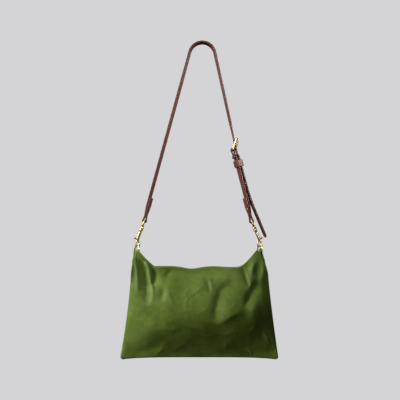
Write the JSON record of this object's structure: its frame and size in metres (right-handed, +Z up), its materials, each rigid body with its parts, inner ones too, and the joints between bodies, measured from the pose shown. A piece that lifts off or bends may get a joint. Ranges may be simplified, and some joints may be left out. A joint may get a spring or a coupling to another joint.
{
  "type": "hobo bag",
  "caption": "Canvas hobo bag with an open mouth, hung from a flat leather strap with a buckle by two swivel bolt snaps and rings.",
  "frame": {"origin": "underside of the strap's crown, midway across the strap, where a peg or a shoulder holds the bag", "axes": "+Z up, +X across the bag to the viewer's right, -Y is the bag's front"},
  "size_m": [0.3005, 0.0578, 0.603],
  "materials": {
    "leather": "oiled, smooth",
    "brass": "polished solid brass, lightly tarnished",
    "canvas": "waxed cotton canvas",
    "lining": "plain cotton twill",
    "tape": "woven cotton tape",
    "steel": "nickel plated"
  },
  "bodies": {
    "strap": {"long_strap": "leather", "short_strap": "leather", "buckle_frame": "brass", "rivet_left": "brass", "rivet_buckle": "brass", "rivet_right": "brass", "swivel_eye_left": "brass", "swivel_eye_right": "brass"},
    "keeper": {"keeper_loop": "leather"},
    "prong": {"buckle_prong": "brass"},
    "snap_left": {"snap_hook_left": "brass", "snap_spring_left": "steel"},
    "bolt_left": {"snap_bolt_left": "brass"},
    "snap_right": {"snap_hook_right": "brass", "snap_spring_right": "steel"},
    "bolt_right": {"snap_bolt_right": "brass"},
    "ring_left": {"d_ring_left": "brass"},
    "ring_right": {"d_ring_right": "brass"},
    "bag": {"ring_tab_left": "canvas", "ring_tab_right": "canvas", "front_panel": "canvas", "back_panel": "canvas", "front_facing": "canvas", "back_facing": "canvas", "front_lining": "lining", "back_lining": "lining", "slip_pocket": "lining", "seam_tape_left": "tape", "seam_tape_right": "tape", "seam_tape_bottom": "tape", "magnet_front": "steel", "magnet_back": "steel", "magnet_washer_front": "steel", "magnet_washer_back": "steel"}
  },
  "joints": [
    {"name": "bag_swing", "type": "hinge", "parent": "strap", "child": "bag", "pos_m": [0, 0, -0.386], "axis": [1, 0, 0], "range_deg": [-20, 20]},
    {"name": "ring_left_pivot", "type": "hinge", "parent": "bag", "child": "ring_left", "pos_m": [-0.123, 0, -0.3955], "axis": [-0.4226, 0.9063, 0], "range_deg": [-3, 3]},
    {"name": "ring_right_pivot", "type": "hinge", "parent": "bag", "child": "ring_right", "pos_m": [0.11, 0, -0.3955], "axis": [-0.4226, 0.9063, 0], "range_deg": [-3, 3]},
    {"name": "snap_left_swivel", "type": "hinge", "parent": "strap", "child": "snap_left", "pos_m": [-0.10932, 0, -0.33738], "axis": [0.3584, 0, 0.9336], "range_deg": [-5, 5]},
    {"name": "snap_right_swivel", "type": "hinge", "parent": "strap", "child": "snap_right", "pos_m": [0.09403, 0, -0.33816], "axis": [-0.4067, 0, 0.9135], "range_deg": [-5, 5]},
    {"name": "bolt_left_slide", "type": "slide", "parent": "snap_left", "child": "bolt_left", "axis": [0.3584, 0, 0.9336], "range_m": [0, 0.006], "stiffness_N_per_m": 200, "springref_m": -0.004, "deforming": ["snap_spring_left"]},
    {"name": "bolt_right_slide", "type": "slide", "parent": "snap_right", "child": "bolt_right", "axis": [-0.4067, 0, 0.9135], "range_m": [0, 0.006], "stiffness_N_per_m": 200, "springref_m": -0.004, "deforming": ["snap_spring_right"]},
    {"name": "prong_lift", "type": "hinge", "parent": "strap", "child": "prong", "pos_m": [0.0585, 0, -0.203], "axis": [0, 1, 0], "range_deg": [0, 14]},
    {"name": "keeper_slide", "type": "slide", "parent": "strap", "child": "keeper", "axis": [0.2542, 0, -0.9671], "range_m": [-0.003, 0.04]}
  ]
}
